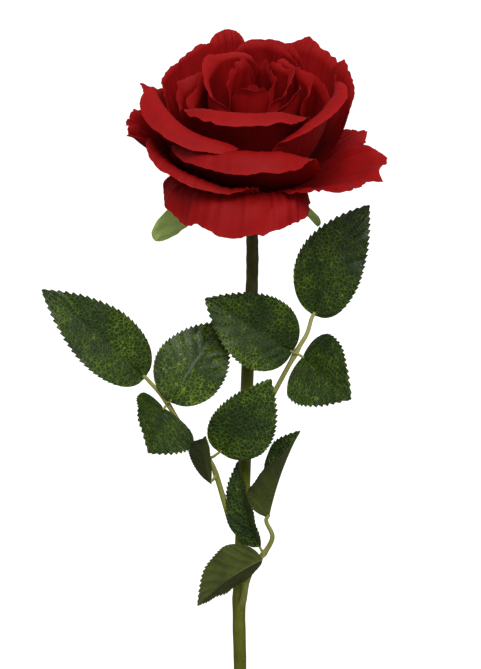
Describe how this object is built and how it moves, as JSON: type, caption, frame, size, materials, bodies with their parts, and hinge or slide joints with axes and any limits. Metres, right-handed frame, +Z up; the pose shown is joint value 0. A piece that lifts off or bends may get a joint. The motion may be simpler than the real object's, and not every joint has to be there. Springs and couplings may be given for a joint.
{
  "type": "rose in a bud vase",
  "caption": "Long-stemmed red garden rose with an open, many-petalled bloom and compound leaves, standing in a slender glazed bud vase.",
  "frame": {"origin": "centre of the vase's flat foot, on the surface that it stands on", "axes": "+Z up along the vase's axis; -Y is the side that the bloom faces; +X is to the right of someone who looks at the bloom"},
  "size_m": [0.1483, 0.1135, 0.4792],
  "materials": {
    "petal_red": "matt velvety red, wrinkled along its length, with frayed rims",
    "leaf_green": "dark green with a soft sheen, paler veins and an olive underside",
    "sepal_green": "matt pale green",
    "stem_green": "satin, olive below and dark near the bloom",
    "vase_glaze": "plain off-white glossy glaze"
  },
  "bodies": {
    "root": {"bud_heart": "petal_red", "leaflet_left_end": "leaf_green", "leaflet_left_inner": "leaf_green", "leaflet_left_low_inner": "leaf_green", "leaflet_left_low_outer": "leaf_green", "leaflet_left_outer": "leaf_green", "leaflet_low_back": "leaf_green", "leaflet_low_end": "leaf_green", "leaflet_low_front": "leaf_green", "leaflet_right_end": "leaf_green", "leaflet_right_inner": "leaf_green", "leaflet_right_outer": "leaf_green", "petal_bowl_back_left": "petal_red", "petal_bowl_back_right": "petal_red", "petal_bowl_front": "petal_red", "petal_bowl_left": "petal_red", "petal_bowl_right": "petal_red", "petal_cup_back": "petal_red", "petal_cup_front": "petal_red", "petal_cup_left": "petal_red", "petal_cup_right": "petal_red", "petal_heart_front": "petal_red", "petal_heart_left": "petal_red", "petal_heart_right": "petal_red", "petal_inner_front": "petal_red", "petal_inner_left": "petal_red", "petal_inner_right": "petal_red", "petal_low_left": "petal_red", "petal_low_right": "petal_red", "petal_outer_back_left": "petal_red", "petal_outer_back_right": "petal_red", "petal_outer_front": "petal_red", "petal_outer_left": "petal_red", "petal_ring_back": "petal_red", "petal_ring_front_left": "petal_red", "petal_ring_front_right": "petal_red", "petal_ring_left": "petal_red", "petal_ring_right": "petal_red", "receptacle": "stem_green", "sepal_back_left": "sepal_green", "sepal_back_right": "sepal_green", "sepal_front": "sepal_green", "sepal_left": "sepal_green", "sepal_right": "sepal_green", "side_stalk_left_inner": "stem_green", "side_stalk_left_low_inner": "stem_green", "side_stalk_left_low_outer": "stem_green", "side_stalk_left_outer": "stem_green", "side_stalk_low_back": "stem_green", "side_stalk_low_front": "stem_green", "side_stalk_right_inner": "stem_green", "side_stalk_right_outer": "stem_green", "stalk_left": "stem_green", "stalk_low": "stem_green", "stalk_right": "stem_green", "stem": "stem_green", "vase": "vase_glaze"}
  },
  "joints": []
}
